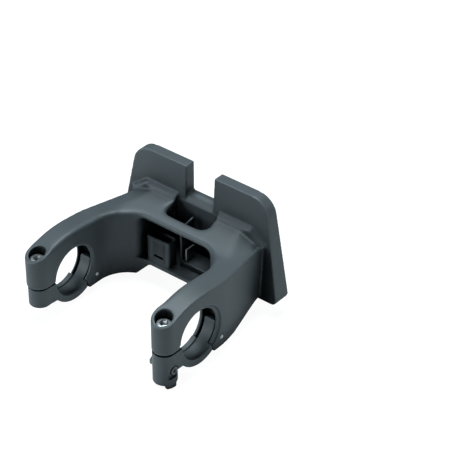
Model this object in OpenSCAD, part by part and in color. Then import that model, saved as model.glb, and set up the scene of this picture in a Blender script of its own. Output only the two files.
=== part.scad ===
// Handlebar mount for a bicycle basket: a moulded bracket with two hinged clamps and a
// notched wedge plate that the basket's own plate slides over.
// X runs along the handlebar, Y from the handlebar to the plate, Z up along the clamp bolts.
// The origin is on the clamps' axis, midway between the two clamps.

/* [Clamps] */
// Diameter of the clamp rims, as closed on a handlebar
bar_d = 35; // [34:0.5:36]
// Distance between the middles of the two clamps
clamp_pitch = 107; // [100:0.5:116]
// Width of each arm at its clamp
arm_w = 16.4; // [15.8:0.1:18]
// Width of the rim at each side of a clamp
rim_w = 3.8; // [3:0.1:4.2]
// Depth of the groove between the rims in the lower jaw
jaw_groove = 1.2; // [0.6:0.1:1.5]
// Thickness of the arm's two cheeks beside the pocket behind the bore
cheek_w = 2.9; // [2.5:0.1:3.4]
// Depth of the arm's pocket over the handlebar
arm_groove = 2; // [1:0.1:2.5]
// Width of the recessed ring around the bore on each outer face
ring_w = 2.6; // [1:0.1:3]
// Depth of that recessed ring
ring_depth = 1.3; // [0.5:0.1:1.6]
// Thickness of the lower jaw under the rims
jaw_t = 4.8; // [4:0.1:5.5]
// Gap between arm and jaw at the bolt
split_gap = 1.2; // [0.8:0.1:2]

/* [Hinges] */
// Distance from the rim to the middle of the hinge pin
hinge_reach = 8; // [7.5:0.1:9]
// Angle of the hinge pin below the level of the handlebar
hinge_angle = 34.6; // [30:0.5:40]
// Diameter of the hinge pins
pin_d = 3; // [3:0.5:4]
// Radius of the jaw's hinge knuckle
knuckle_r = 10.3; // [10:0.1:10.8]
// Material of the arm under each hinge pin
lobe_t = 7; // [6:0.5:9]
// Radial play of the knuckle in the arm
knuckle_play = 0.35; // [0.3:0.05:0.6]

/* [Bolts] */
// Distance from the rim to the middle of the clamp bolt
bolt_reach = 8; // [7.5:0.5:10]
// Core diameter of the clamp bolts, under the thread
bolt_core_d = 4.9; // [4.5:0.1:5]
// Length of the clamp bolts under the head
bolt_len = 20; // [18:0.5:21]
// Diameter of the bolt heads
head_d = 10; // [9:0.5:10.5]
// Height of the bolt heads
head_h = 6; // [5:0.5:7]
// Width of the hexagon socket across its flats
socket_af = 5; // [4:0.5:6]
// Diameter of the deep hole that takes each bolt head
counterbore_d = 11.5; // [11.2:0.1:12]
// Height of the seat under each washer
seat_z = 14; // [12:0.5:16]
// Diameter of the plain hole in each arm
bolt_hole_d = 6.6; // [6.4:0.1:7]
// Thickness of the washers
washer_t = 1; // [0.8:0.1:1.5]
// Outer diameter of the threaded inserts
insert_d = 9; // [8:0.1:9.5]
// Bore of the threaded inserts, at the root of the thread
insert_bore_d = 6.2; // [6.2:0.1:6.8]
// Height of the threaded inserts
insert_h = 7; // [5:0.5:8]
// Depth of the lower jaws' bolt boss below the insert
boss_floor = 7; // [5:0.1:10]

/* [Arms] */
// Height of the outer edge of the arms above the handlebar's axis
arm_top_z = 29.8; // [28:0.1:32]
// Radius of the arch over the clamp, seen from the side
arch_r = 77; // [65:1:90]
// Fall of the arm's top from the arch to the plate, in degrees
arm_fall = 5; // [4:0.2:7]
// Sideways tilt of the arm's top, inner edge high, in degrees
arm_tilt = 5; // [4:0.5:12]
// Radius of the corners between arms and web, seen from above
throat_r = 23; // [15:1:28]
// How far each arm moves inwards on its way to the plate
arm_draw_in = 7.4; // [4:0.2:9]
// Where the arms start to draw in
bend_y = 24; // [20:1:30]

/* [Web] */
// Front face of the web between the arms
web_front_y = 46.5; // [44:0.5:50]
// Height of the web's top at its front edge
web_top_z = 28.3; // [27:0.1:30]
// Rise of the web's top towards the plate, in degrees
web_rise = 8; // [6:1:12]
// Underside of the web
web_bottom_z = -10.5; // [-13:0.5:-8]
// Thickness of the web's top skin at the front
skin_t = 4.6; // [3:0.2:6]
// Thickness of the web's floor
floor_t = 2.6; // [2:0.2:4]
// Width of the opening under the web
window_w = 60; // [54:1:62]
// Width of the slot in front of the notch
slot_w = 35; // [30:1:38]
// Length of the slot in front of the notch
slot_l = 15.5; // [12:0.5:17]

/* [Plate] */
// Width of the plate at its top edge
plate_top_w = 110.4; // [100:0.5:120]
// Width of the plate at its bottom edge
plate_bottom_w = 136.6; // [126:0.5:144]
// Top edge of the plate
plate_top_z = 58; // [54:0.5:62]
// Bottom edge of the plate
plate_bottom_z = -16; // [-20:0.5:-12]
// Back face of the plate
plate_back_y = 82; // [79:0.5:86]
// Thickness of the plate at its top edge
plate_top_t = 8; // [7:0.5:9]
// Thickness of the plate at its bottom edge
plate_bottom_t = 13.5; // [12:0.5:14.5]
// Radius of the plate's upper corners
plate_corner_r = 14; // [8:1:18]
// Width of the notch for the latch
notch_w = 23.4; // [20:0.2:26]
// Depth of the notch at the front of the plate
notch_d = 27.5; // [24:0.5:30]
// Radius of the rounded sill at the bottom of the notch
sill_r = 6.5; // [5:0.5:7]

/* [Receiver] */
// Width of the hollow post under the web
post_w = 19.6; // [16:0.1:21]
// Height of the hollow post above the floor
post_h = 20.3; // [17:0.1:24]
// Depth of the hollow post
post_d = 9; // [7:0.5:10]
// Wall of the hollow post
post_wall = 2; // [1.6:0.1:2.5]
// Height of the ledge beside the post, above the floor
ledge_h = 4.5; // [3:0.5:7]
// Thickness of the steel strike
strike_t = 1.2; // [1:0.1:2]
// Height of the steel strike above the ledge
strike_h = 9.5; // [8:0.5:12]

/* [Cable lug] */
// Length of the right jaw's lug below its split face
lug_h = 23.2; // [22:0.1:26]
// Height of the cable screw below the split face
screw_drop = 12.8; // [12.6:0.1:14]
// Diameter of the cable screw
screw_d = 3; // [2.5:0.5:3.5]
// Diameter of the cable screw's head
screw_head_d = 5.6; // [5:0.2:6.4]
// Height of the cable slot under the screw
cable_slot_h = 2.6; // [2:0.2:3]
// Drop of the foot below the lug
foot_drop = 2.2; // [1.6:0.2:4]

/* [Hidden] */
$fn = 64;
eps = 0.01;
far = 200;

moulding_colour = [0.24, 0.27, 0.29];
bolt_colour = [0.78, 0.79, 0.8];
pin_colour = [0.7, 0.71, 0.72];
insert_colour = [0.75, 0.62, 0.35];

bar_r = bar_d / 2;
clamp_x = clamp_pitch / 2;
arm_half = arm_w / 2;
inner_x = clamp_x - arm_half;
outer_x = clamp_x + arm_half;
knuckle_w = arm_w - 2 * rim_w;
pocket_w = arm_w - 2 * cheek_w;
jaw_r = bar_r + jaw_t;

pin_y = (bar_r + hinge_reach) * cos(hinge_angle);
pin_z = -(bar_r + hinge_reach) * sin(hinge_angle);
shoulder_r = knuckle_r + knuckle_play;
knuckle_top_r = knuckle_r + 2.2;
hinge_pocket_r = knuckle_top_r + knuckle_play;
lobe_z = pin_z - lobe_t;

bolt_y = -(bar_r + bolt_reach);
boss_r = arm_half;
split_top_z = 1;
split_z = split_top_z - split_gap;
head_seat_z = seat_z + washer_t;
jaw_boss_z = split_z - insert_h - boss_floor;
lug_z = split_z - lug_h;
blind_depth = 3;

wall_root_x = outer_x - arm_draw_in;
plate_lean = (plate_bottom_t - plate_top_t) / (plate_top_z - plate_bottom_z);
function plate_front(z) = plate_back_y - plate_top_t - (plate_top_z - z) * plate_lean;
function web_top(y) = web_top_z + (y - web_front_y) * tan(web_rise);
slot_front_y = plate_front(web_top_z) - slot_l;
cavity_top_z = web_top_z - skin_t;
cavity_floor_z = web_bottom_z + floor_t;
cavity_back_y = plate_front(plate_bottom_z);
ridge_h = 3.2;
ridge_l = 3;
ridge_fall = 35;
facet_x = 43.5;

post_x = -25.4;
post_y = web_front_y + 1.3;
rib_x = -3;
rib_t = 1.6;
ledge_y = post_y + post_d - 1;
strike_x = rib_x + rib_t + 2;
strike_y = ledge_y + 1.5;
strike_l = 8;
strike_seat = 3;

screw_y = bolt_y;
screw_z = split_z - screw_drop;
cable_slot_z = screw_z - screw_head_d / 2 - cable_slot_h;
lug_d = arm_w - 0.4;
screw_face = lug_d / 2 - 1.8;
nut_t = 2.4;

arc_fineness = 30;
function unit(v) = v / norm(v);
function heading(v) = atan2(v[1], v[0]);
function turn(a, b) = (b - a + 540) % 360 - 180;
function arc(centre, r, from, sweep) =
    let (n = max(1, ceil(abs(sweep) * sqrt(r) / arc_fineness)))
    [for (k = [0:n]) centre + r * [cos(from + sweep * k / n), sin(from + sweep * k / n)]];
function corner(p, q, r, rad) =
    let (half = acos(unit(p - q) * unit(r - q)) / 2)
    let (start = q + unit(p - q) * rad / tan(half))
    let (end = q + unit(r - q) * rad / tan(half))
    let (centre = q + unit(unit(p - q) + unit(r - q)) * rad / sin(half))
    arc(centre, rad, heading(start - centre), turn(heading(start - centre), heading(end - centre)));

// An outline through the given corners, each rounded to its own radius
module rounded_outline(corners, radii) {
    n = len(corners);
    polygon([for (i = [0:n - 1])
        each radii[i] == 0
            ? [corners[i]]
            : corner(corners[(i + n - 1) % n], corners[i], corners[(i + 1) % n], radii[i])]);
}

// A side view, drawn as Y and Z, given a width along X
module across(x0, x1) {
    translate([x0, 0, 0])
        rotate([90, 0, 90])
            linear_extrude(x1 - x0)
                children();
}

// A front view, drawn as X and Z, given a depth along Y
module along(y0, y1) {
    translate([0, y1, 0])
        rotate([90, 0, 0])
            linear_extrude(y1 - y0)
                children();
}

// Everything above a plane through a point, which falls by the given slopes along X and Y
module above_plane(point, fall_x, fall_y) {
    tilt_y = atan(fall_x);
    tilt_x = -atan(fall_y * cos(tilt_y));
    translate(point)
        rotate([tilt_x, tilt_y, 0])
            translate([-far, -far, 0])
                cube([2 * far, 2 * far, far]);
}

module both_sides() {
    children();
    mirror([1, 0, 0])
        children();
}

// Outline of arms and web seen from above, with round bosses at the bolts
module plan() {
    front_y = bolt_y - arm_half;
    end_r = arm_half - eps;
    root_y = cavity_back_y - 5;
    back_y = plate_back_y - 2;
    rounded_outline(
        [[outer_x, front_y], [outer_x, bend_y], [wall_root_x, root_y], [wall_root_x, back_y],
         [-wall_root_x, back_y], [-wall_root_x, root_y], [-outer_x, bend_y], [-outer_x, front_y],
         [-inner_x, front_y], [-inner_x, web_front_y], [inner_x, web_front_y],
         [inner_x, front_y]],
        [end_r, 60, 30, 0, 0, 30, 60, end_r, end_r, throat_r, throat_r, end_r]);
}

// Side view of an arm: an arch over the clamp, then a straight fall to the plate
module arm_top_view() {
    arch_y = 2;
    arch_start = 123;
    arch_centre = [arch_y, arm_top_z - arch_r];
    arch = arc(arch_centre, arch_r, arch_start, 90 - arm_fall - arch_start);
    last = arch[len(arch) - 1];
    polygon(concat(
        [[arch[0][0], -60]],
        arch,
        [[last[0] + far / 2, last[1] - far / 2 * tan(arm_fall)], [last[0] + far / 2, -60]]));
}

// Side view of what the arm keeps: above the split, and the hinge lobe behind the bore
module arm_keep_view() {
    polygon(concat(
        [[-far, far], [-far, split_top_z], [pin_y - knuckle_r, split_top_z]],
        arc([pin_y, pin_z], knuckle_r, 180, 90 - acos(lobe_t / knuckle_r)),
        [[far, lobe_z], [far, far]]));
}

// Arms and web: the outline seen from above, under the tops of the arms and of the web
module moulding_mass() {
    intersection() {
        translate([0, 0, -far / 2])
            linear_extrude(far)
                plan();
        union() {
            both_sides()
                arm_block();
            web_block();
        }
    }
}

module arm_block() {
    intersection() {
        translate([outer_x, 0, arm_top_z])
            rotate([0, arm_tilt, 0])
                translate([-outer_x, 0, -arm_top_z])
                    across(inner_x - 12, outer_x + 12)
                        arm_top_view();
        across(inner_x - 4, outer_x + 9)
            arm_keep_view();
    }
}

// The web's top rises towards the plate
module web_block() {
    start_y = web_front_y - 12;
    end_y = plate_back_y - 1;
    difference() {
        across(-outer_x - 5, outer_x + 5)
            polygon([[start_y, lobe_z], [start_y, web_top(start_y)],
                     [end_y, web_top(end_y)], [end_y, lobe_z]]);
        facet_cuts();
    }
}

// Two facets fall from the web's top to each outer edge, steeper towards the plate
module facet_cuts() {
    rear_y = plate_front(web_top_z) - 3;
    front_y = web_front_y + 6.5;
    both_sides() {
        above_plane([facet_x, rear_y, web_top(rear_y)], 0.73, 0.13);
        above_plane([facet_x, front_y, web_top(front_y)], 0.36, 0);
    }
}

// What is cut from below: the arch under the web and the slant along each outer edge
module underside_cut() {
    low_half = 38;
    high_half = 22;
    along(-far / 4, plate_front(plate_bottom_z))
        rounded_outline(
            [[-low_half, -far / 2], [-low_half, lobe_z - 6], [-high_half, web_bottom_z],
             [high_half, web_bottom_z], [low_half, lobe_z - 6], [low_half, -far / 2]],
            [0, 8, 7, 7, 8, 0]);
    both_sides()
        mirror([0, 0, 1])
            above_plane([outer_x, pin_y + 12, -lobe_z], 0.3, 0.28);
}

// Front view of the plate
module plate_view() {
    rounded_outline(
        [[-plate_top_w / 2, plate_top_z], [plate_top_w / 2, plate_top_z],
         [plate_bottom_w / 2, plate_bottom_z], [-plate_bottom_w / 2, plate_bottom_z]],
        [plate_corner_r, plate_corner_r, 4, 4]);
}

// The wedge plate: upright at the back, leaning at the front, notched for the latch
module plate() {
    notch_z = plate_top_z - notch_d;
    sill_y = plate_front(notch_z) + sill_r;
    difference() {
        intersection() {
            along(plate_back_y - plate_bottom_t - 1, plate_back_y)
                plate_view();
            across(-far / 2, far / 2)
                polygon([[plate_back_y, plate_bottom_z - 1],
                         [plate_front(plate_bottom_z - 1), plate_bottom_z - 1],
                         [plate_front(plate_top_z + 1), plate_top_z + 1],
                         [plate_back_y, plate_top_z + 1]]);
        }
        difference() {
            along(0, far)
                rounded_outline(
                    [[-notch_w / 2, plate_top_z + far], [-notch_w / 2, notch_z],
                     [notch_w / 2, notch_z], [notch_w / 2, plate_top_z + far]],
                    [0, 3, 3, 0]);
            across(-notch_w, notch_w)
                translate([sill_y, notch_z])
                    circle(r = sill_r);
        }
    }
}

// The rounded ridge where the web's top meets the plate
module ridge() {
    root_y = plate_front(web_top_z);
    root_z = web_top(root_y);
    both_sides() {
        across(slot_w / 2, facet_x)
            ridge_view(root_y, root_z);
        translate([facet_x, 0, root_z])
            rotate([0, ridge_fall, 0])
                translate([-facet_x, 0, -root_z])
                    across(facet_x, facet_x + 14)
                        ridge_view(root_y, root_z);
    }
}

module ridge_view(root_y, root_z) {
    rounded_outline(
        [[root_y + 3, root_z + ridge_h], [root_y + 3, root_z - 4], [root_y - ridge_l, root_z - 4],
         [root_y - ridge_l, root_z + 0.9], [root_y - 1.4, root_z + ridge_h]],
        [0, 0, 0, 1.6, 1.4]);
}

// The hollow under the web, open at the front, and the slot in the web's top
module receiver_cut() {
    along(0, cavity_back_y)
        rounded_outline(
            [[-window_w / 2, cavity_top_z], [window_w / 2, cavity_top_z],
             [window_w / 2, cavity_floor_z], [-window_w / 2, cavity_floor_z]],
            [6, 6, 3, 3]);
    translate([0, 0, cavity_floor_z])
        linear_extrude(cavity_top_z - cavity_floor_z)
            both_sides()
                window_flare();
    translate([0, 0, cavity_floor_z + 1])
        linear_extrude(far)
            rounded_outline(
                [[-slot_w / 2, slot_front_y], [-slot_w / 2, plate_front(web_top_z)],
                 [slot_w / 2, plate_front(web_top_z)], [slot_w / 2, slot_front_y]],
                [6, 0, 0, 6]);
}

// The window's upright edges roll into the hollow, seen from above
module window_flare() {
    roll_r = 8.5;
    roll = [window_w / 2 + roll_r, web_front_y + 4.2];
    polygon(concat(
        [[0, web_front_y - 6], [roll[0] - 2.5, web_front_y - 6]],
        arc(roll, roll_r, 245, -65),
        [[window_w / 2, web_front_y + 12], [0, web_front_y + 12]]));
}

// The post, rib and ledge that stand in the hollow
module receiver_ribs() {
    difference() {
        translate([post_x, post_y, cavity_floor_z - 1])
            rounded_box([post_w, post_d, post_h + 1], 2);
        translate([post_x + post_wall, post_y + post_wall, cavity_floor_z])
            rounded_box([post_w - 2 * post_wall, post_d - 2 * post_wall, post_h + 1], 1);
        translate([post_x + post_w / 2 - 4, post_y - 1, cavity_floor_z + 4.5])
            cube([8, post_wall + 2, 1.8]);
        translate([post_x + 4, post_y - 0.6, cavity_floor_z + 2.5])
            cube([post_w - 8, 1.2, post_h - 5]);
    }
    translate([rib_x, ledge_y, cavity_floor_z - 1])
        cube([rib_t, cavity_back_y - ledge_y + 1, cavity_top_z - cavity_floor_z + 2]);
    translate([rib_x, ledge_y, cavity_floor_z - 1])
        cube([window_w / 2 - rib_x + 1, cavity_back_y - ledge_y + 1, ledge_h + 1]);
    translate([post_x, post_y + post_d - 1, cavity_floor_z - 1])
        cube([post_wall, cavity_back_y - post_y - post_d + 2, post_h * 0.6]);
}

module rounded_box(size, r) {
    linear_extrude(size[2])
        rounded_outline([[0, 0], [0, size[1]], [size[0], size[1]], [size[0], 0]], [r, r, r, r]);
}

// A plain cylinder along X, from x0, about a point of the side view
module rod(x0, length, centre, r) {
    translate([x0, centre[0], centre[1]])
        rotate([0, 90, 0])
            cylinder(r = r, h = length, $fn = 128);
}

// Bore, pocket, hinge slot, pin hole and bolt hole of one arm
module clamp_cut() {
    pocket_x = clamp_x - pocket_w / 2;
    rear_r = bar_r + 1.1;
    rod(inner_x - 1, arm_w + 2, [0, 0], bar_r);
    rod(outer_x - ring_depth, arm_w, [0, 0], bar_r + ring_w);
    translate([inner_x - eps, 0, 0])
        rotate([0, 90, 0])
            cylinder(r1 = bar_r + 0.9, r2 = bar_r, h = 0.9, $fn = 128);
    rod(pocket_x, pocket_w, [0, 0], bar_r + arm_groove);
    rod(pocket_x, pocket_w, [4, 1.5], rear_r);
    rod(pocket_x, pocket_w, [pin_y, pin_z], hinge_pocket_r);
    rod(inner_x - 1, arm_w + 2, [pin_y, pin_z], pin_d / 2);
    translate([clamp_x, bolt_y, -far / 4])
        cylinder(d = bolt_hole_d, h = far / 2);
    translate([clamp_x, bolt_y, seat_z])
        cylinder(d = counterbore_d, h = far / 4);
}

module bracket_body() {
    color(moulding_colour)
        difference() {
            union() {
                difference() {
                    union() {
                        difference() {
                            moulding_mass();
                            underside_cut();
                        }
                        plate();
                        ridge();
                    }
                    receiver_cut();
                }
                receiver_ribs();
            }
            both_sides()
                clamp_cut();
            latch_strike_seat();
        }
}

// Outline of a lower jaw seen from above: round at the bolt, full width from the bore on
module jaw_plan(boss_d) {
    front_y = bolt_y - boss_d / 2;
    end_r = boss_d / 2 - eps;
    rounded_outline(
        [[boss_d / 2, front_y], [boss_d / 2, bolt_y + 3], [arm_half, bolt_y + 10],
         [arm_half, pin_y], [-arm_half, pin_y], [-arm_half, bolt_y + 10],
         [-boss_d / 2, bolt_y + 3], [-boss_d / 2, front_y]],
        [end_r, 0, 0, 0, 0, 0, 0, end_r]);
}

// Side view of a lower jaw between the split and the hinge
module jaw_view(boss_z) {
    difference() {
        union() {
            intersection() {
                circle(r = jaw_r, $fn = 128);
                translate([-far, -far])
                    square([2 * far, far + split_z]);
            }
            translate([bolt_y - arm_w, boss_z])
                square([arm_w + boss_r, split_z - boss_z]);
            translate([bolt_y - arm_w, jaw_boss_z])
                square([arm_w - bolt_y - bar_r * 0.7, split_z - jaw_boss_z]);
        }
        circle(r = bar_r, $fn = 128);
        translate([pin_y, pin_z])
            circle(r = shoulder_r);
        translate([pin_y - shoulder_r, pin_z])
            square([far, far]);
        translate([pin_y, -far])
            square([far, 2 * far]);
    }
}

// The knuckle that turns between the arm's cheeks, level with the lobes underneath
module knuckle_view() {
    difference() {
        intersection() {
            union() {
                translate([pin_y, pin_z])
                    circle(r = knuckle_r);
                intersection() {
                    circle(r = jaw_r, $fn = 128);
                    translate([pin_y, pin_z])
                        circle(r = knuckle_top_r);
                }
            }
            translate([-far + pin_y, lobe_z + 0.2])
                square([2 * far, far]);
        }
        circle(r = bar_r + jaw_groove, $fn = 128);
    }
}

// Everything behind the round of the bolt boss, seen from above
module behind_boss(r) {
    polygon(concat(
        arc([0, bolt_y], r, 0, 180),
        [[-arm_w, bolt_y], [-arm_w, bolt_y + boss_r + 0.05], [arm_w, bolt_y + boss_r + 0.05],
         [arm_w, bolt_y]]));
}

// One lower jaw at X = 0
module jaw(boss_z, boss_d) {
    difference() {
        union() {
            difference() {
                intersection() {
                    across(-arm_half, arm_half)
                        jaw_view(boss_z);
                    translate([0, 0, -far / 2])
                        linear_extrude(far)
                            jaw_plan(boss_d);
                }
                rod(-knuckle_w / 2, knuckle_w, [0, 0], bar_r + jaw_groove);
            }
            across(-knuckle_w / 2, knuckle_w / 2)
                knuckle_view();
        }
        translate([0, 0, boss_z - 1])
            linear_extrude(jaw_boss_z - boss_z + 1)
                behind_boss(boss_d / 2);
        rod(-arm_w, 2 * arm_w, [pin_y, pin_z], pin_d / 2 + 0.06);
        translate([0, bolt_y, split_z - insert_h])
            cylinder(d = insert_d, h = far / 4);
        translate([0, bolt_y, split_z - insert_h - blind_depth])
            cylinder(d = insert_bore_d, h = far / 4);
    }
}

module lower_jaw_left() {
    color(moulding_colour)
        translate([-clamp_x, 0, 0])
            jaw(jaw_boss_z, arm_w - 1.4);
}

// The right jaw's boss runs on as a lug with a cross screw and a slot for a safety cable
module lower_jaw_right() {
    color(moulding_colour)
        translate([clamp_x, 0, 0])
            difference() {
                union() {
                    jaw(lug_z, lug_d);
                    foot();
                }
                translate([screw_face, screw_y, screw_z])
                    rotate([0, 90, 0])
                        cylinder(d = screw_head_d + 1.2, h = arm_w);
                translate([-arm_w, screw_y, screw_z])
                    rotate([0, 90, 0])
                        cylinder(d = screw_d + 0.1, h = 2 * arm_w);
                translate([screw_face, screw_y - arm_w, cable_slot_z])
                    cube([arm_w, 2 * arm_w, cable_slot_h]);
            }
}

// A rounded tongue under the cable slot, which keeps the cable from slipping out
module foot() {
    foot_r = 3;
    foot_x = screw_face - 3.5;
    foot_z = lug_z - foot_drop;
    intersection() {
        translate([foot_x, bolt_y - 5.5, foot_z])
            rounded_box([arm_w, 7, cable_slot_z + cable_slot_h - foot_z], foot_r);
        translate([0, bolt_y, foot_z])
            cylinder(r = lug_d / 2 + 0.4, h = far / 4);
    }
}

module hinge_pin(side) {
    color(pin_colour)
        translate([side * clamp_x - arm_half, pin_y, pin_z])
            rotate([0, 90, 0])
                cylinder(d = pin_d, h = arm_w);
}

module hinge_pin_left() {
    hinge_pin(-1);
}

module hinge_pin_right() {
    hinge_pin(1);
}

// Socket-head bolt with a pointed end, seated on its washer
module clamp_bolt(side) {
    point_h = 2.2;
    color(bolt_colour)
        translate([side * clamp_x, bolt_y, head_seat_z])
            difference() {
                union() {
                    translate([0, 0, -bolt_len + point_h])
                        cylinder(d = bolt_core_d, h = bolt_len - point_h + eps);
                    rotate_extrude()
                        polygon([[0, -bolt_len], [bolt_core_d / 2 - 1, -bolt_len],
                                 [bolt_core_d / 2, -bolt_len + point_h],
                                 [0, -bolt_len + point_h]]);
                    rotate_extrude()
                        polygon([[0, 0], [head_d / 2, 0], [head_d / 2, head_h - 0.5],
                                 [head_d / 2 - 0.5, head_h], [0, head_h]]);
                }
                translate([0, 0, head_h - 3])
                    cylinder(d = socket_af / cos(30), h = 4, $fn = 6);
            }
}

module clamp_bolt_left() {
    clamp_bolt(-1);
}

module clamp_bolt_right() {
    clamp_bolt(1);
}

module bolt_washer(side) {
    color(bolt_colour)
        translate([side * clamp_x, bolt_y, seat_z])
            difference() {
                cylinder(d = counterbore_d - 0.4, h = washer_t);
                translate([0, 0, -1])
                    cylinder(d = bolt_hole_d - 0.2, h = washer_t + 2);
            }
}

module bolt_washer_left() {
    bolt_washer(-1);
}

module bolt_washer_right() {
    bolt_washer(1);
}

module threaded_insert(side) {
    color(insert_colour)
        translate([side * clamp_x, bolt_y, split_z - insert_h])
            difference() {
                cylinder(d = insert_d, h = insert_h);
                translate([0, 0, -1])
                    cylinder(d = insert_bore_d, h = insert_h + 2);
            }
}

module threaded_insert_left() {
    threaded_insert(-1);
}

module threaded_insert_right() {
    threaded_insert(1);
}

// Cross-head screw through the lug, with its nut on the inner side
module cable_screw() {
    head_t = 1.8;
    color(bolt_colour)
        translate([clamp_x + screw_face, screw_y, screw_z])
            rotate([0, 90, 0])
                difference() {
                    union() {
                        translate([0, 0, -lug_d / 2 - screw_face - nut_t - 0.8])
                            cylinder(d = screw_d, h = lug_d / 2 + screw_face + nut_t + 0.8 + eps);
                        cylinder(d = screw_head_d, h = head_t);
                    }
                    for (turn = [0, 90])
                        rotate([0, 0, turn + 20])
                            translate([-screw_head_d * 0.3, -0.4, head_t - 1])
                                cube([screw_head_d * 0.6, 0.8, 2]);
                }
}

module cable_screw_nut() {
    color(bolt_colour)
        translate([clamp_x - lug_d / 2 - nut_t, screw_y, screw_z])
            rotate([0, 90, 0])
                difference() {
                    cylinder(d = screw_d * 2.1, h = nut_t, $fn = 6);
                    translate([0, 0, -1])
                        cylinder(d = screw_d, h = nut_t + 2);
                }
}

// Steel strike blade that stands in a seat in the ledge
module latch_strike() {
    color(bolt_colour)
        translate([strike_x, strike_y, cavity_floor_z + ledge_h - strike_seat])
            cube([strike_t, strike_l, strike_h + strike_seat]);
}

module latch_strike_seat() {
    translate([strike_x, strike_y, cavity_floor_z + ledge_h - strike_seat])
        cube([strike_t, strike_l, strike_seat + eps]);
}

bracket_body();
lower_jaw_left();
lower_jaw_right();
hinge_pin_left();
hinge_pin_right();
clamp_bolt_left();
clamp_bolt_right();
bolt_washer_left();
bolt_washer_right();
threaded_insert_left();
threaded_insert_right();
cable_screw();
cable_screw_nut();
latch_strike();
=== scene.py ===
# %% [markdown]
# # A handlebar bracket for a quick-release basket
# The bracket is one large nylon moulding: two arched arms, a web between them and a wedge
# plate behind. Two hinged jaws close its clamps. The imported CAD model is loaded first. It
# fixes every size and place, and everything that follows only gives it its surface.

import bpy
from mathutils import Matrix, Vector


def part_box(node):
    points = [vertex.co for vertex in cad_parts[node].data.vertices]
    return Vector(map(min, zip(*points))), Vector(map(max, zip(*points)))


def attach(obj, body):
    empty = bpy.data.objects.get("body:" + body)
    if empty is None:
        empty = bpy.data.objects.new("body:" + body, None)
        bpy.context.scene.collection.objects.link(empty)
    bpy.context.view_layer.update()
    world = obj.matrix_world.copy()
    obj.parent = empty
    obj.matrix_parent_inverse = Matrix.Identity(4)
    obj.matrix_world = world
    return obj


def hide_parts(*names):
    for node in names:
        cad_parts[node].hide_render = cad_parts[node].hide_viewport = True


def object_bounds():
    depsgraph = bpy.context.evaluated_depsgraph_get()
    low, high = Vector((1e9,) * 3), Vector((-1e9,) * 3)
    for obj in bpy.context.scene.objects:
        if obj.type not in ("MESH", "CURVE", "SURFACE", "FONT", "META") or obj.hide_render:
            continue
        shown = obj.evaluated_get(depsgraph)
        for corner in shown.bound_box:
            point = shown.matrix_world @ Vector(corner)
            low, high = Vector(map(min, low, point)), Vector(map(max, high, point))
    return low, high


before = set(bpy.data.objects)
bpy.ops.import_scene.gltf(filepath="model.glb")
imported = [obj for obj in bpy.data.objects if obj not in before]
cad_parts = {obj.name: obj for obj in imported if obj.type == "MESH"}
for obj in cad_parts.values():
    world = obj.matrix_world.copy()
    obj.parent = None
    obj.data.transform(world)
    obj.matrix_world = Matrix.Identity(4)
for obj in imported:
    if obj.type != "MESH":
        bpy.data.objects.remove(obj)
cad_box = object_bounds()
print("CAD box", [[round(c, 4) for c in corner] for corner in cad_box])

# %% [markdown]
# ## Measures from the frame
# Blender works in metres, and a maker thinks of such a part in millimetres, so one value
# turns the one into the other. The places of bolts, pins and screws could be typed in again.
# They are read from the boxes of their CAD nodes instead, so nothing can drift away from
# the solids.

# %% Measures
import math

import bmesh
import bpy
import numpy as np
from mathutils import Matrix, Vector

MM = 0.001
SIDES = ("left", "right")
UP = (0, 0, 1)
ALONG_THE_BAR = (1, 0, 0)


def middle(node):
    low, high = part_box(node)
    return (low + high) / 2


def span(node, axis):
    low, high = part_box(node)
    return high[axis] - low[axis]


for side in SIDES:
    print(side, "bolt at", tuple(round(c / MM, 2) for c in middle("clamp_bolt_" + side)))

# %% [markdown]
# ## Small tools for materials
# Every finish below is built from the same few steps: a noise, a ramp between two colours,
# a value stretched to a new range, and a bump. Each step is a short function, so that a
# material reads like a recipe and no image has to be painted.

# %% A new material with its noise and its ramp


def new_material(name):
    material = bpy.data.materials.new(name)
    material.use_nodes = True
    nodes = material.node_tree.nodes
    return material, nodes, material.node_tree.links, nodes["Principled BSDF"]


def noise(nodes, links, coords, scale, detail):
    texture = nodes.new("ShaderNodeTexNoise")
    texture.inputs["Scale"].default_value = scale
    texture.inputs["Detail"].default_value = detail
    links.new(coords, texture.inputs["Vector"])
    return texture.outputs["Fac"]


def ramp(nodes, links, value, low, high, colours):
    blend = nodes.new("ShaderNodeValToRGB")
    for element, position, colour in zip(blend.color_ramp.elements, (low, high), colours):
        element.position = position
        element.color = (*colour, 1)
    links.new(value, blend.inputs["Fac"])
    return blend.outputs["Color"]


# %% Ranges, relief and mixed colours


def spread(nodes, links, value, low, high, start=0, end=1):
    """Stretch a value that runs from start to end, so that it runs from low to high."""
    stretch = nodes.new("ShaderNodeMapRange")
    ends = {"From Min": start, "From Max": end, "To Min": low, "To Max": high}
    for socket, amount in ends.items():
        stretch.inputs[socket].default_value = amount
    links.new(value, stretch.inputs["Value"])
    return stretch.outputs["Result"]


def bump(nodes, links, shader, height, strength, distance):
    relief = nodes.new("ShaderNodeBump")
    relief.inputs["Strength"].default_value = strength
    relief.inputs["Distance"].default_value = distance
    links.new(height, relief.inputs["Height"])
    links.new(relief.outputs["Normal"], shader.inputs["Normal"])


def mix_colour(nodes, links, amount, first, second):
    mix = nodes.new("ShaderNodeMix")
    mix.data_type = "RGBA"
    links.new(amount, mix.inputs["Factor"])
    for value, socket in ((first, mix.inputs["A"]), (second, mix.inputs["B"])):
        if isinstance(value, tuple):
            socket.default_value = (*value, 1)
        else:
            links.new(value, socket)
    return mix.outputs["Result"]


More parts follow.
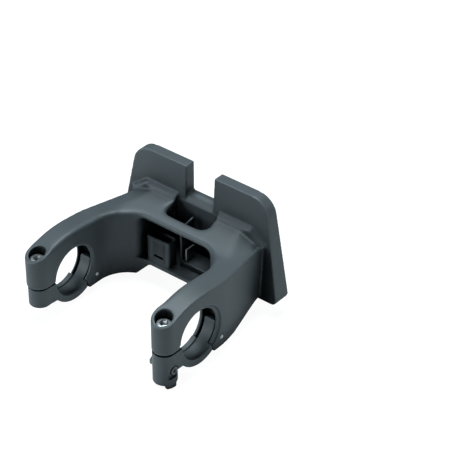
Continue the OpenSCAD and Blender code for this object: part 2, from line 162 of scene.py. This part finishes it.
# %% [markdown]
# ## Painted shade in the hollows
# Deep pockets and narrow grooves of a dark moulding look nearly black, because little light
# finds its way in and out again. That shade is painted into the nylon here. Blender can ask
# how open a point is: two questions are put, one over a long reach for the pockets and one
# over a short reach for the grooves, and the two answers are multiplied. Where a point is
# closed in, its colour is darkened towards a painted shade and its reflection is weakened.

# %% How open a point is
# Reaches and ranges of the painted shade in the hollows.
GROOVE_REACH = 0.0028
POCKET_OPENNESS = (0.47, 0.9)
GROOVE_OPENNESS = (0.42, 0.8)


def openness(nodes, links, reach, darkest, free):
    """From 0 in a hollow to 1 on a free face, as far as a reach in m can tell."""
    around = nodes.new("ShaderNodeAmbientOcclusion")
    around.samples = 8
    around.inputs["Distance"].default_value = reach
    return spread(nodes, links, around.outputs["AO"], 0, 1, darkest, free)


# Painted shade: how open a point is, over both reaches, sets how far its colour is darkened.
def openness_for_painted_shade(nodes, links, pocket_reach):
    both = nodes.new("ShaderNodeMath")
    both.operation = "MULTIPLY"
    pocket = openness(nodes, links, pocket_reach, *POCKET_OPENNESS)
    groove = openness(nodes, links, GROOVE_REACH, *GROOVE_OPENNESS)
    links.new(pocket, both.inputs[0])
    links.new(groove, both.inputs[1])
    return both.outputs["Value"]


# %% [markdown]
# ## A dark nylon surface
# Glass-filled nylon comes out of a spark-eroded mould with a fine grain and a dull sheen.
# The grain is a small noise used as bump. A larger, very faint cloud shifts colour and
# roughness, because filler and cooling are never quite even. Edges that hands and tools
# touch turn a little paler, which the pointiness of a dense mesh can find; the same paler
# edge is pushed far enough to be also a painted highlight along the crisp outer edges. The
# big moulding has deep pockets and the jaws have only shallow ones, so the painted shade in
# their hollows differs in its reach.

# %% Nylon
CLOUD_SCALE, GRAIN_SCALE = 45, 2600
GRAIN_DEPTH = 0.00012
# The paler edges are partly rubbed wear and partly a painted highlight.
EDGE_STARTS, EDGE_FULL, EDGE_WEAR_AND_HIGHLIGHT = 0.508, 0.56, 0.7
WORN_AND_HIGHLIT_NYLON = (0.085, 0.1, 0.108)


def nylon(name, colour, pocket_reach):
    material, nodes, links, shader = new_material(name)
    coords = nodes.new("ShaderNodeTexCoord").outputs["Object"]
    cloud = noise(nodes, links, coords, CLOUD_SCALE, 3)
    deeper = tuple(c * 0.86 for c in colour)
    base = ramp(nodes, links, cloud, 0.3, 0.7, (deeper, colour))
    # Paler edges: partly rubbed wear, partly a painted highlight along the crisp outer edges.
    point = nodes.new("ShaderNodeNewGeometry").outputs["Pointiness"]
    edge = spread(nodes, links, point, 0, EDGE_WEAR_AND_HIGHLIGHT, EDGE_STARTS, EDGE_FULL)
    rubbed_and_highlit = mix_colour(nodes, links, edge, base, WORN_AND_HIGHLIT_NYLON)
    # Painted shade: where a point is closed in, the colour is darkened towards a near-black copy
    # of the nylon and the reflection is weakened.
    painted_shade_openness = openness_for_painted_shade(nodes, links, pocket_reach)
    painted_shade_colour = tuple(c * 0.12 for c in colour)
    links.new(mix_colour(nodes, links, painted_shade_openness, painted_shade_colour, rubbed_and_highlit), shader.inputs["Base Color"])
    links.new(spread(nodes, links, painted_shade_openness, 0.06, 0.45), shader.inputs["Specular IOR Level"])
    links.new(spread(nodes, links, cloud, 0.5, 0.62), shader.inputs["Roughness"])
    grain = noise(nodes, links, coords, GRAIN_SCALE, 2)
    bump(nodes, links, shader, grain, 0.35, GRAIN_DEPTH)
    return material


moulding = nylon("moulding", (0.032, 0.039, 0.044), 0.028)
jaw_nylon = nylon("jaw_nylon", (0.034, 0.042, 0.047), 0.006)
print("nylons", moulding.name, jaw_nylon.name)

# %% [markdown]
# ## Moulded corners
# A moulding has no sharp edge: the tool is rounded everywhere, broadly where the arms roll
# into the hollow between them and only a little at their outer edges. A bevel would fail on
# so many meeting faces. The solid is therefore rebuilt from small voxels, and then relaxed:
# each point moves towards the mean of its neighbours. A weight says how much, so the inner
# shoulders get soft, and the bores, the counterbores and the thin ribs keep their shape.

# %% Rebuild a solid as a fine skin


def evaluated(obj):
    bpy.context.view_layer.update()
    return bpy.data.meshes.new_from_object(
        obj.evaluated_get(bpy.context.evaluated_depsgraph_get())
    )


def join_into(mesh, extra):
    both = bmesh.new()
    both.from_mesh(mesh)
    both.from_mesh(extra)
    both.to_mesh(mesh)
    both.free()


def skin_of(node, name, voxel_mm, extra=None):
    """A skin in mm over a node's solid, and over an extra mesh that fills a gap in it."""
    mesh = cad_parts[node].data.copy()
    if extra is not None:
        join_into(mesh, extra)
    mesh.transform(Matrix.Scale(1 / MM, 4))
    obj = bpy.data.objects.new(name, mesh)
    bpy.context.scene.collection.objects.link(obj)
    remesh = obj.modifiers.new("skin", "REMESH")
    remesh.mode = "VOXEL"
    remesh.voxel_size = voxel_mm
    obj.data = evaluated(obj)
    obj.modifiers.clear()
    print(name, "voxel skin", len(obj.data.vertices), "points")
    return obj


# %% Relax a skin


def points_of(mesh):
    flat = np.empty(len(mesh.vertices) * 3)
    mesh.vertices.foreach_get("co", flat)
    return flat.reshape(-1, 3)


def relax(mesh, rounds, weight):
    points = points_of(mesh)
    ends = np.empty(len(mesh.edges) * 2, int)
    mesh.edges.foreach_get("vertices", ends)
    a, b = ends.reshape(-1, 2).T
    count = len(points)
    degree = np.maximum(np.bincount(a, minlength=count) + np.bincount(b, minlength=count), 1)
    step = 0.5 * np.broadcast_to(weight, (count,))[:, None]
    for _ in range(rounds):
        sums = [
            np.bincount(a, points[b, k], count) + np.bincount(b, points[a, k], count)
            for k in range(3)
        ]
        points += step * (np.stack(sums, axis=1) / degree[:, None] - points)
    mesh.vertices.foreach_set("co", points.ravel())
    mesh.update()


# %% Thin a skin and give it its nylon


def triangle_count(mesh):
    return sum(len(p.vertices) - 2 for p in mesh.polygons)


def finish_skin(obj, most_triangles, material):
    triangles = triangle_count(obj.data)
    if triangles > most_triangles:
        thin = obj.modifiers.new("thin", "DECIMATE")
        thin.ratio = most_triangles / triangles
        obj.data = evaluated(obj)
        obj.modifiers.clear()
    obj.data.transform(Matrix.Scale(MM, 4))
    obj.data.shade_smooth()
    obj.data.materials.clear()
    obj.data.materials.append(material)
    print(obj.name, triangle_count(obj.data), "triangles")


# %% [markdown]
# ## Where the bracket is soft
# The real tool is blended generously along the arms and the web, and cut crisply where
# something fits. Marking those regions by hand would take one mark for each point. A weight
# worked out from the place of a point does the same: it is one where a broad, soft edge
# belongs and near zero where a crisp form does. It is a product of simple fades, each from
# a start to an end in mm: away from the bolts, the bores and the outer walls, and out of the
# receiver.

# %% Weights for the bracket
FROM_BOLT = (8.5, 12)
FROM_BORE = (21.5, 24.5)
UP_TO_THE_TOP = (12, 20)
ARM_NARROWS, NARROWING_Y = 7.4, (26, 63)
OFF_THE_WALL, AT_THE_WALL = (1.5, 4.5), 0.08
PLATE_Y = (62, 67)
BESIDE_SLOT, RIDGE_END_Y, RIDGE_TOP, RIDGE_SOFTNESS = (15.5, 17), (75.5, 76.5), (38, 40), 0.12
RECEIVER_X, RECEIVER_Y, RECEIVER_TOP = (28, 33), (48, 50.5), (22, 25)


def fade(value, start, end):
    return np.clip((value - start) / (end - start), 0, 1)


def ridge_softness(x, y, z):
    over_the_web = (1 - fade(y, *RIDGE_END_Y)) * (1 - fade(z, *RIDGE_TOP))
    return RIDGE_SOFTNESS * fade(np.abs(x), *BESIDE_SLOT) * over_the_web


def bracket_softness(points):
    x, y, z = points.T
    bolt = middle("clamp_bolt_right") / MM
    from_bolt = np.hypot(np.abs(x) - bolt.x, y - bolt.y)
    from_bore = np.hypot(y, z)
    half_arm = span("lower_jaw_left", 0) / 2 / MM
    outer_wall = bolt.x + half_arm - ARM_NARROWS * fade(y, *NARROWING_Y)
    inside = fade(outer_wall - np.abs(x), *OFF_THE_WALL)
    off_the_wall = AT_THE_WALL + (1 - AT_THE_WALL) * inside
    before_plate = np.maximum(1 - fade(y, *PLATE_Y), ridge_softness(x, y, z))
    under_the_web = fade(y, *RECEIVER_Y) * (1 - fade(z, *RECEIVER_TOP))
    in_receiver = (1 - fade(np.abs(x), *RECEIVER_X)) * under_the_web
    clear_of_clamp = fade(from_bolt, *FROM_BOLT) * fade(from_bore, *FROM_BORE)
    soft_faces = fade(z, *UP_TO_THE_TOP) * before_plate * off_the_wall
    return clear_of_clamp * soft_faces * (1 - in_receiver)


# %% [markdown]
# ## The turn of the ridge
# Where the ridge over the web turns down to run along the arm, the solid has a narrow V
# between its two lengths. On the real moulding the turn is one rounded knuckle. The ridge
# could be swept anew round the corner. Short round bars laid in the V before the skin is
# rebuilt are simpler, and the relaxing then melts them into both lengths.

# %% Knuckles for the ridge
RIDGE_TURN = (43.5, 71.8, 31.85)
KNUCKLE_R, NOSE_R = 3.2, 2.2
KNUCKLE_FRONT, NOSE_FRONT, KNUCKLE_BACK = 2.2, 2.8, 1.2


def round_bar(mesh, radius, front, way):
    """A bar along y through the ridge's turn, on the side that way gives."""
    x, y, z = RIDGE_TURN
    place = Vector((way * x, y + (KNUCKLE_BACK - front) / 2, z)) * MM
    bmesh.ops.create_cone(
        mesh,
        cap_ends=True,
        segments=32,
        radius1=radius * MM,
        radius2=radius * MM,
        depth=(front + KNUCKLE_BACK) * MM,
        matrix=Matrix.Translation(place) @ Matrix.Rotation(math.radians(90), 4, "X"),
    )


def ridge_turns():
    turns = bmesh.new()
    for way in (-1, 1):
        round_bar(turns, KNUCKLE_R, KNUCKLE_FRONT, way)
        round_bar(turns, NOSE_R, NOSE_FRONT, way)
    mesh = bpy.data.meshes.new("ridge_turns")
    turns.to_mesh(mesh)
    turns.free()
    print("ridge turns", len(mesh.vertices), "points")
    return mesh


# %% [markdown]
# ## The bracket's skin
# The body is a moulding of about 135 by 116 mm with walls of a few millimetres. One voxel
# size for all of it has to keep the thinnest rib, so half a millimetre is used. A few even
# rounds take the steps of the voxels away, and many weighted ones round the shoulders.

# %% The bracket's skin
EVEN_ROUNDS, SOFT_ROUNDS = 4, 110
BRACKET_VOXEL, BRACKET_TRIANGLES = 0.5, 190000

bracket = skin_of("bracket_body", "bracket_moulding", BRACKET_VOXEL, ridge_turns())
relax(bracket.data, EVEN_ROUNDS, 1.0)
relax(bracket.data, SOFT_ROUNDS, bracket_softness(points_of(bracket.data)))
finish_skin(bracket, BRACKET_TRIANGLES, moulding)
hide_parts("bracket_body")
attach(bracket, "bracket")

# %% [markdown]
# ## The closed underside of the right jaw
# Both jaws have the same unbroken wall under the bore. In the solid of the right one the cut
# for the lug's slot runs on into that wall. A patch could be modelled to its curve. The left
# jaw already has the wall, so its rear part is cut off, moved over and laid in.

# %% The left jaw's rear part, moved over
BEHIND_THE_BOSS_Y = -17.2


def left_jaw_behind(y_mm):
    """The left jaw from behind its boss to the hinge, moved over to the right clamp."""
    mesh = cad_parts["lower_jaw_left"].data.copy()
    shift = middle("clamp_bolt_right") - middle("clamp_bolt_left")
    mesh.transform(Matrix.Translation(shift))
    part = bmesh.new()
    part.from_mesh(mesh)
    cut = bmesh.ops.bisect_plane(
        part,
        geom=part.verts[:] + part.edges[:] + part.faces[:],
        plane_co=(0, y_mm * MM, 0),
        plane_no=(0, 1, 0),
        clear_inner=True,
    )
    rim = [e for e in cut["geom_cut"] if isinstance(e, bmesh.types.BMEdge)]
    bmesh.ops.contextual_create(part, geom=rim)
    part.to_mesh(mesh)
    part.free()
    return mesh


# %% [markdown]
# ## The lower jaws
# The jaws come from smaller tools, with tighter edges. The same way as for the bracket would
# round them too much. They get a finer voxel and only the few even rounds, so the grooved
# rims and the hinge knuckle stay true.

# %% Jaw skins
JAW_VOXEL, JAW_TRIANGLES = 0.34, 90000

for side in SIDES:
    extra = left_jaw_behind(BEHIND_THE_BOSS_Y) if side == "right" else None
    jaw = skin_of("lower_jaw_" + side, "jaw_moulding_" + side, JAW_VOXEL, extra)
    relax(jaw.data, EVEN_ROUNDS, 1.0)
    finish_skin(jaw, JAW_TRIANGLES, jaw_nylon)
    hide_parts("lower_jaw_" + side)
    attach(jaw, "jaw_" + side)

# %% [markdown]
# ## Metal finishes
# The bolts are stainless steel, turned and rolled, so fine scratches run around them. The
# pins are ground, the inserts are brass, and the screw and the blade are darker steel. Each
# could have a material of its own kind. One function makes them all: the colour and how
# rough it is change, and a stretched noise gives the faint tool marks.

# %% Metal
MARKS_SCALE, TARNISH_SCALE = 900, 350
MARKS_DEPTH = 0.00004


def metal(name, colour, rough_low, rough_high, grain):
    material, nodes, links, shader = new_material(name)
    coords = nodes.new("ShaderNodeTexCoord").outputs["Object"]
    stretch = nodes.new("ShaderNodeMapping")
    stretch.inputs["Scale"].default_value = grain
    links.new(coords, stretch.inputs["Vector"])
    marks = noise(nodes, links, stretch.outputs["Vector"], MARKS_SCALE, 4)
    cloud = noise(nodes, links, coords, TARNISH_SCALE, 2)
    dull = tuple(c * 0.82 for c in colour)
    links.new(ramp(nodes, links, cloud, 0.35, 0.65, (dull, colour)), shader.inputs["Base Color"])
    links.new(spread(nodes, links, marks, rough_low, rough_high), shader.inputs["Roughness"])
    bump(nodes, links, shader, marks, 0.2, MARKS_DEPTH)
    shader.inputs["Metallic"].default_value = 1.0
    print(name, "is ready")
    return material


bolt_steel = metal("bolt_steel", (0.52, 0.53, 0.54), 0.24, 0.42, (1, 1, 8))
pin_steel = metal("pin_steel", (0.4, 0.41, 0.42), 0.3, 0.45, (8, 1, 1))
insert_brass = metal("insert_brass", (0.78, 0.6, 0.3), 0.28, 0.45, (1, 1, 6))
screw_steel = metal("screw_steel", (0.13, 0.14, 0.145), 0.3, 0.5, (8, 1, 1))
strike_steel = metal("strike_steel", (0.25, 0.26, 0.27), 0.25, 0.45, (1, 6, 1))

# %% [markdown]
# ## A lathe for round pieces
# Bolts, pins, washers and inserts are rings of points joined into a skin. Each ring has its
# own height and its own outline, round or hexagonal, so a socket can sink into a round head
# without a boolean. The outline is a function of the angle, which also allows a thread.

# %% Outlines of rings


def round_ring(radius):
    return lambda angle: radius


def hex_ring(across_flats):
    def outline(angle):
        sixth = math.radians(60)
        off = (angle + sixth / 2) % sixth - sixth / 2
        return across_flats / 2 / math.cos(off)

    return outline


# %% Ring lofting
RING = 48
SHARP_FROM = math.radians(35)


def ring_points(rings):
    points = []
    for height, outline in rings:
        for k in range(RING):
            angle = 2 * math.pi * k / RING
            radius = outline(angle)
            points.append((radius * math.cos(angle), radius * math.sin(angle), height))
    return points


def ring_faces(count, closed):
    """Bands between the rings, then a lid at each end or a band back to the first ring."""
    last = (count - 1) * RING
    following = [(k + 1) % RING for k in range(RING)]
    faces = []
    for start in range(0, last, RING):
        for k, after in enumerate(following):
            a, b = start + k, start + after
            faces.append((a, b, b + RING, a + RING))
    if closed:
        faces.append(tuple(reversed(range(RING))))
        faces.append(tuple(range(last, last + RING)))
    else:
        faces += [(last + k, last + after, after, k) for k, after in enumerate(following)]
    return faces


def loft(name, rings, place, axis, material, closed=True):
    """A skin over rings of (height, outline) in mm, along an axis from a place in m."""
    mesh = bpy.data.meshes.new(name)
    mesh.from_pydata(ring_points(rings), [], ring_faces(len(rings), closed))
    mesh.transform(Matrix.Scale(MM, 4))
    turn = Vector(UP).rotation_difference(Vector(axis)).to_matrix().to_4x4()
    mesh.transform(Matrix.Translation(place) @ turn)
    mesh.materials.append(material)
    mesh.shade_smooth()
    mesh.set_sharp_from_angle(angle=SHARP_FROM)
    obj = bpy.data.objects.new(name, mesh)
    bpy.context.scene.collection.objects.link(obj)
    print(name, len(mesh.polygons), "faces")
    return obj


def foot_of(node):
    """The middle of the node's lower end."""
    low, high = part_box(node)
    return Vector(((low.x + high.x) / 2, (low.y + high.y) / 2, low.z))


# %% [markdown]
# ## Clamp bolts
# A socket-head screw has a chamfered cylinder for a head, a hexagon pressed into it and a
# rolled thread. The thread could be a bump, but the bolt is drawn right out of the jaw, so it
# is real geometry: each ring's radius rises and falls with the angle, one turn for each
# pitch. It stays inside the insert's bore.

# %% The thread
THREAD_R, ROOT_R, PITCH = 3.0, 2.5, 1.0
RINGS_A_TURN = 8
THREAD_START, THREAD_RUNOUT = 2.2, 0.4


def thread_ring(height):
    def outline(angle):
        phase = (height / PITCH - angle / (2 * math.pi)) % 1
        rise = 1 - abs(2 * phase - 1)
        return ROOT_R + (THREAD_R - ROOT_R) * min(1, max(0, 1.35 * rise - 0.15))

    return outline


def thread_rings(under_head):
    steps = int((under_head - (THREAD_START + THREAD_RUNOUT)) / (PITCH / RINGS_A_TURN))
    heights = [THREAD_START + k * PITCH / RINGS_A_TURN for k in range(steps)]
    return [(height, thread_ring(height)) for height in heights]


# %% The head and the whole bolt
HEAD_H, SOCKET_AF, SOCKET_DEPTH = 6.0, 5.0, 3.4
SOCKET_LEAD_IN, DRILL_POINT = 0.5, 0.9


def head_rings(length, head_r):
    under_head = length - HEAD_H
    return [
        (under_head, round_ring(head_r - 0.25)),
        (under_head + 0.25, round_ring(head_r)),
        (length - 0.55, round_ring(head_r)),
        (length - 0.2, round_ring(head_r - 0.2)),
        (length, round_ring(head_r - 0.6)),
        (length, hex_ring(SOCKET_AF + SOCKET_LEAD_IN)),
        (length - 0.3, hex_ring(SOCKET_AF)),
        (length - SOCKET_DEPTH, hex_ring(SOCKET_AF)),
        (length - SOCKET_DEPTH - DRILL_POINT, round_ring(0.4)),
    ]


def bolt_rings(length, head_r):
    under_head = length - HEAD_H
    tip = [(0, round_ring(1.2)), (0.25, round_ring(1.45)), (2.0, round_ring(ROOT_R - 0.05))]
    neck = [
        (under_head - 0.3, round_ring(ROOT_R + 0.1)),
        (under_head, round_ring(THREAD_R - 0.05)),
    ]
    return tip + thread_rings(under_head) + neck + head_rings(length, head_r)


for side in SIDES:
    node = "clamp_bolt_" + side
    rings = bolt_rings(span(node, 2) / MM, span(node, 0) / 2 / MM)
    bolt = loft("socket_bolt_" + side, rings, foot_of(node), UP, bolt_steel)
    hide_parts(node)
    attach(bolt, "bolt_" + side)

# %% [markdown]
# ## Washers
# A washer is stamped from sheet, so its upper edge is rounded and its lower one is not. A
# torus or a bevelled tube would round both. Six rings, joined back to the first one, give
# just the edge that the punch leaves.

# %% Washers
WASHER_BORE_R, STAMPED_EDGE = 3.2, 0.25

for side in SIDES:
    node = "bolt_washer_" + side
    outer, thick = span(node, 0) / 2 / MM, span(node, 2) / MM
    rings = [
        (0, round_ring(WASHER_BORE_R)),
        (0, round_ring(outer)),
        (thick - STAMPED_EDGE, round_ring(outer)),
        (thick, round_ring(outer - STAMPED_EDGE)),
        (thick, round_ring(WASHER_BORE_R + 0.1)),
        (thick - 0.1, round_ring(WASHER_BORE_R)),
    ]
    washer = loft("washer_" + side, rings, foot_of(node), UP, bolt_steel, closed=False)
    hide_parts(node)
    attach(washer, "bracket")

# %% [markdown]
# ## Threaded inserts
# A brass insert is knurled in two bands with a groove between them, and the plastic grips
# both. The knurl could be cut with many small tools. Here it is one more outline of the
# lathe, whose radius ripples with the angle.

# %% Inserts
INSERT_BORE_R = 3.1
KNURL_DEPTH, KNURL_RIDGES = 0.14, 24
GROOVE_DEPTH = 0.45


def knurl_ring(radius):
    return lambda angle: radius - KNURL_DEPTH * (0.5 + 0.5 * math.cos(KNURL_RIDGES * angle))


def insert_rings(outer, tall):
    return [
        (0.3, round_ring(INSERT_BORE_R)),
        (0, round_ring(INSERT_BORE_R + 0.3)),
        (0, round_ring(outer - 0.6)),
        (0.4, knurl_ring(outer)),
        (tall * 0.42, knurl_ring(outer)),
        (tall * 0.46, round_ring(outer - GROOVE_DEPTH)),
        (tall * 0.54, round_ring(outer - GROOVE_DEPTH)),
        (tall * 0.58, knurl_ring(outer)),
        (tall - 0.4, knurl_ring(outer)),
        (tall - 0.3, round_ring(outer - 0.1)),
        (tall, round_ring(outer - 0.2)),
        (tall, round_ring(INSERT_BORE_R + 0.4)),
        (tall - 0.4, round_ring(INSERT_BORE_R)),
    ]


for side in SIDES:
    node = "threaded_insert_" + side
    rings = insert_rings(span(node, 0) / 2 / MM, span(node, 2) / MM)
    insert = loft("insert_" + side, rings, foot_of(node), UP, insert_brass, closed=False)
    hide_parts(node)
    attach(insert, "jaw_" + side)

# %% [markdown]
# ## Hinge pins
# A hinge pin is ground, with a small chamfer at each end that leads it into the cheeks. Its
# ends are all that shows of it. The solid's own cylinder would do for the rest, but the
# lathe gives the chamfers as well, for six rings.

# %% Hinge pins
for side in SIDES:
    node = "hinge_pin_" + side
    radius, long = span(node, 2) / 2 / MM, span(node, 0) / MM
    rings = [
        (0, round_ring(radius - 0.9)),
        (0.1, round_ring(radius - 0.35)),
        (0.35, round_ring(radius)),
        (long - 0.35, round_ring(radius)),
        (long - 0.1, round_ring(radius - 0.35)),
        (long, round_ring(radius - 0.9)),
    ]
    left_end = middle(node) - Vector((span(node, 0) / 2, 0, 0))
    pin = loft("pin_" + side, rings, left_end, ALONG_THE_BAR, pin_steel)
    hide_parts(node)
    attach(pin, "bracket")

# %% [markdown]
# ## Nodes that keep their CAD mesh
# The small screw, its nut and the blade in the receiver are already the right shape, with
# the cross recess cut into the screw's head. Building them again would add nothing, so they
# only get their metal.

# %% Paint the remaining nodes
PAINTED = {
    "cable_screw": screw_steel,
    "cable_screw_nut": screw_steel,
    "latch_strike": strike_steel,
}

for node, material in PAINTED.items():
    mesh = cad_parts[node].data
    mesh.materials.clear()
    mesh.materials.append(material)
    print(node, "in", material.name)

# %% [markdown]
# ## Floor
# The floor is a pale sheet just under the lowest point. In a catalogue picture it is almost
# burnt out. A stronger lamp would burn out the bracket's tops too. So the camera is shown a
# sheet that is mostly plain white, and the rest of it still takes the bracket's soft shadow.

# %% Floor
FLOOR_SIZE, FLOOR_GAP = 6, 0.0005
FLOOR_GREY, FLOOR_GLOW, FLOOR_SHOWN_WHITE = 0.7, 1.18, 0.8


def shown_to_camera(nodes, links, real, shown, share, output):
    """Blend a share of what only the camera sees into what lights the bracket."""
    path = nodes.new("ShaderNodeLightPath")
    seen = nodes.new("ShaderNodeMath")
    seen.operation = "MULTIPLY"
    seen.inputs[1].default_value = share
    links.new(path.outputs["Is Camera Ray"], seen.inputs[0])
    blend = nodes.new("ShaderNodeMixShader")
    links.new(seen.outputs["Value"], blend.inputs["Fac"])
    links.new(real, blend.inputs[1])
    links.new(shown, blend.inputs[2])
    links.new(blend.outputs["Shader"], output.inputs["Surface"])


def floor_material():
    material, nodes, links, shader = new_material("floor")
    shader.inputs["Base Color"].default_value = (FLOOR_GREY, FLOOR_GREY, FLOOR_GREY, 1)
    shader.inputs["Roughness"].default_value = 0.9
    white = nodes.new("ShaderNodeEmission")
    white.inputs["Color"].default_value = (1, 1, 1, 1)
    white.inputs["Strength"].default_value = FLOOR_GLOW
    real, shown = shader.outputs["BSDF"], white.outputs["Emission"]
    output = nodes["Material Output"]
    shown_to_camera(nodes, links, real, shown, FLOOR_SHOWN_WHITE, output)
    return material


low, high = cad_box
bpy.ops.mesh.primitive_plane_add(size=FLOOR_SIZE, location=(0, 0, low[2] - FLOOR_GAP))
floor = bpy.context.object
floor.name = "floor"
floor.data.materials.append(floor_material())
print("floor at", round(floor.location.z / MM, 2), "mm")

# %% [markdown]
# ## Lamps
# A wide lamp high over the part lights the top faces, and a smaller one low on the left
# lights the fronts of the bosses and every face that looks left. A weak one on the right
# opens the shaded sides, and one from behind draws the upper edges. A single sky would be
# simpler, but it would also fill the receiver. The arms and the web shade it from these
# four, so it stays dark.

# %% Lamps
COOL_WHITE = (0.82, 0.95, 1.0)


def lamp(name, place, aim, size, watts):
    light = bpy.data.lights.new(name, "AREA")
    light.shape = "DISK"
    light.size = size
    light.energy = watts
    light.color = COOL_WHITE
    obj = bpy.data.objects.new(name, light)
    bpy.context.scene.collection.objects.link(obj)
    obj.location = place
    obj.rotation_euler = (Vector(aim) - Vector(place)).to_track_quat("-Z", "Y").to_euler()
    print(name, "lamp", watts, "W")


centre = Vector([(a + b) / 2 for a, b in zip(low, high)])
lamp("key", (-0.2, 0.2, 1.3), centre, 0.6, 32)
lamp("left", (-0.95, -1.05, 0.4), centre, 0.4, 16)
lamp("right", (1.3, -0.1, 0.3), centre, 0.6, 1.8)
lamp("rim", (0.8, 0.9, 0.7), centre, 0.4, 4)

# %% [markdown]
# ## The studio around it
# Behind the floor the picture is plain white. A white room would wash the dark nylon out.
# As on the floor, only the camera is shown the white, and the bracket is lit by a faint,
# cool grey.

# %% World
ROOM_COLOUR, ROOM_LIGHT = (0.8, 0.94, 1.0, 1), 0.05

world = bpy.data.worlds.new("studio")
bpy.context.scene.world = world
world.use_nodes = True
nodes, links = world.node_tree.nodes, world.node_tree.links
room = nodes["Background"]
room.inputs["Color"].default_value = ROOM_COLOUR
room.inputs["Strength"].default_value = ROOM_LIGHT
white = nodes.new("ShaderNodeBackground")
white.inputs["Color"].default_value = (1, 1, 1, 1)
white.inputs["Strength"].default_value = 1.0
real, shown = room.outputs["Background"], white.outputs["Background"]
shown_to_camera(nodes, links, real, shown, 1.0, nodes["World Output"])
print("world", world.name)

# %% [markdown]
# ## Camera
# The picture was taken from the front right and from above, with a long lens. A shorter one
# from nearer by would spread the arms apart more. The two round bores and the upright walls
# fix the angle, and the size of the bracket in the picture fixes the distance.

# %% Camera
AZIMUTH, ELEVATION = math.radians(39.17), math.radians(35.30)
CAMERA_PLACE = (0.7174, -0.7760, 0.7998)
LENS, SENSOR, FARTHEST = 161.1, 36, 20

camera_data = bpy.data.cameras.new("camera")
camera_data.sensor_width = SENSOR
camera_data.lens = LENS
camera_data.clip_end = FARTHEST
camera = bpy.data.objects.new("camera", camera_data)
bpy.context.scene.collection.objects.link(camera)
camera.location = CAMERA_PLACE
level = math.cos(ELEVATION)
toward = Vector((-math.sin(AZIMUTH) * level, math.cos(AZIMUTH) * level, -math.sin(ELEVATION)))
camera.rotation_euler = toward.to_track_quat("-Z", "Y").to_euler()
bpy.context.scene.camera = camera
bpy.context.scene.view_settings.view_transform = "Standard"
print("camera", round(camera.location.length, 3), "m from the bar's middle")
